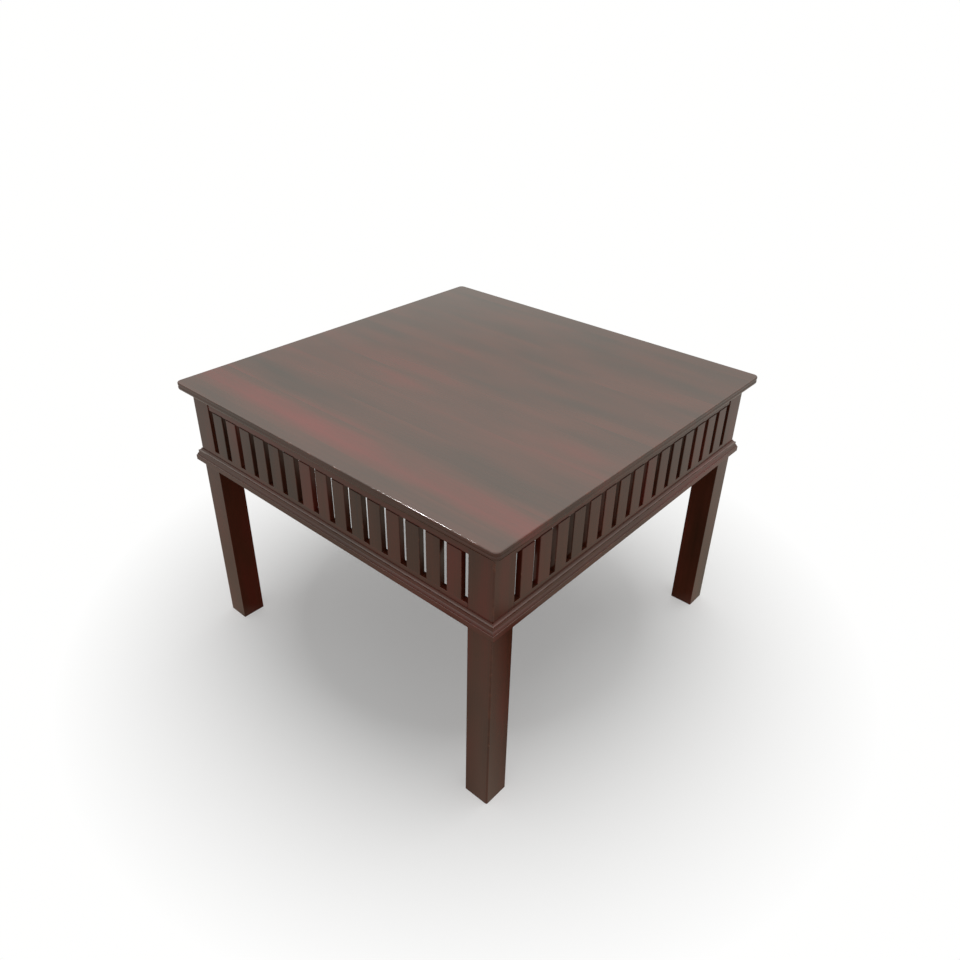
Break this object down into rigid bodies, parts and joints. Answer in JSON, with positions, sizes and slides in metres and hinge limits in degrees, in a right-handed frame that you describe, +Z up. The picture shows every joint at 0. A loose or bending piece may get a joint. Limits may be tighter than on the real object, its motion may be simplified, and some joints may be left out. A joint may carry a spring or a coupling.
{
  "type": "square dining table",
  "caption": "Square wooden dining table with a moulded top, slatted aprons, a mitred moulding round the base of the aprons and four straight square legs.",
  "frame": {"origin": "on the floor, under the middle of the square top", "axes": "+Z up; +X to the right and -Y to the front; the boards of the top run along Y"},
  "size_m": [1.075, 1.075, 0.75],
  "materials": {
    "lacquered_wood": "dark red-brown gloss lacquer",
    "bare_wood": "stained and sealed, no gloss",
    "zinc_steel": "bright zinc plating"
  },
  "bodies": {
    "root": {"top_board_1": "lacquered_wood", "top_board_2": "lacquered_wood", "top_board_3": "lacquered_wood", "top_board_4": "lacquered_wood", "top_board_5": "lacquered_wood", "top_board_6": "lacquered_wood", "top_board_7": "lacquered_wood", "top_board_8": "lacquered_wood", "top_board_9": "lacquered_wood", "top_board_10": "lacquered_wood", "top_board_11": "lacquered_wood", "top_board_12": "lacquered_wood", "leg_front_left": "lacquered_wood", "leg_front_right": "lacquered_wood", "leg_back_right": "lacquered_wood", "leg_back_left": "lacquered_wood", "upper_rail_front": "lacquered_wood", "upper_rail_right": "lacquered_wood", "upper_rail_back": "lacquered_wood", "upper_rail_left": "lacquered_wood", "lower_rail_front": "lacquered_wood", "lower_rail_right": "lacquered_wood", "lower_rail_back": "lacquered_wood", "lower_rail_left": "lacquered_wood", "slats_front": "lacquered_wood", "slats_right": "lacquered_wood", "slats_back": "lacquered_wood", "slats_left": "lacquered_wood", "moulding_front": "lacquered_wood", "moulding_right": "lacquered_wood", "moulding_back": "lacquered_wood", "moulding_left": "lacquered_wood", "corner_block_front_left": "bare_wood", "corner_block_front_right": "bare_wood", "corner_block_back_right": "bare_wood", "corner_block_back_left": "bare_wood", "cleat_front": "bare_wood", "cleat_right": "bare_wood", "cleat_back": "bare_wood", "cleat_left": "bare_wood", "batten_front": "bare_wood", "batten_back": "bare_wood", "top_screws": "zinc_steel", "block_screws": "zinc_steel", "moulding_pins": "zinc_steel"}
  },
  "joints": []
}
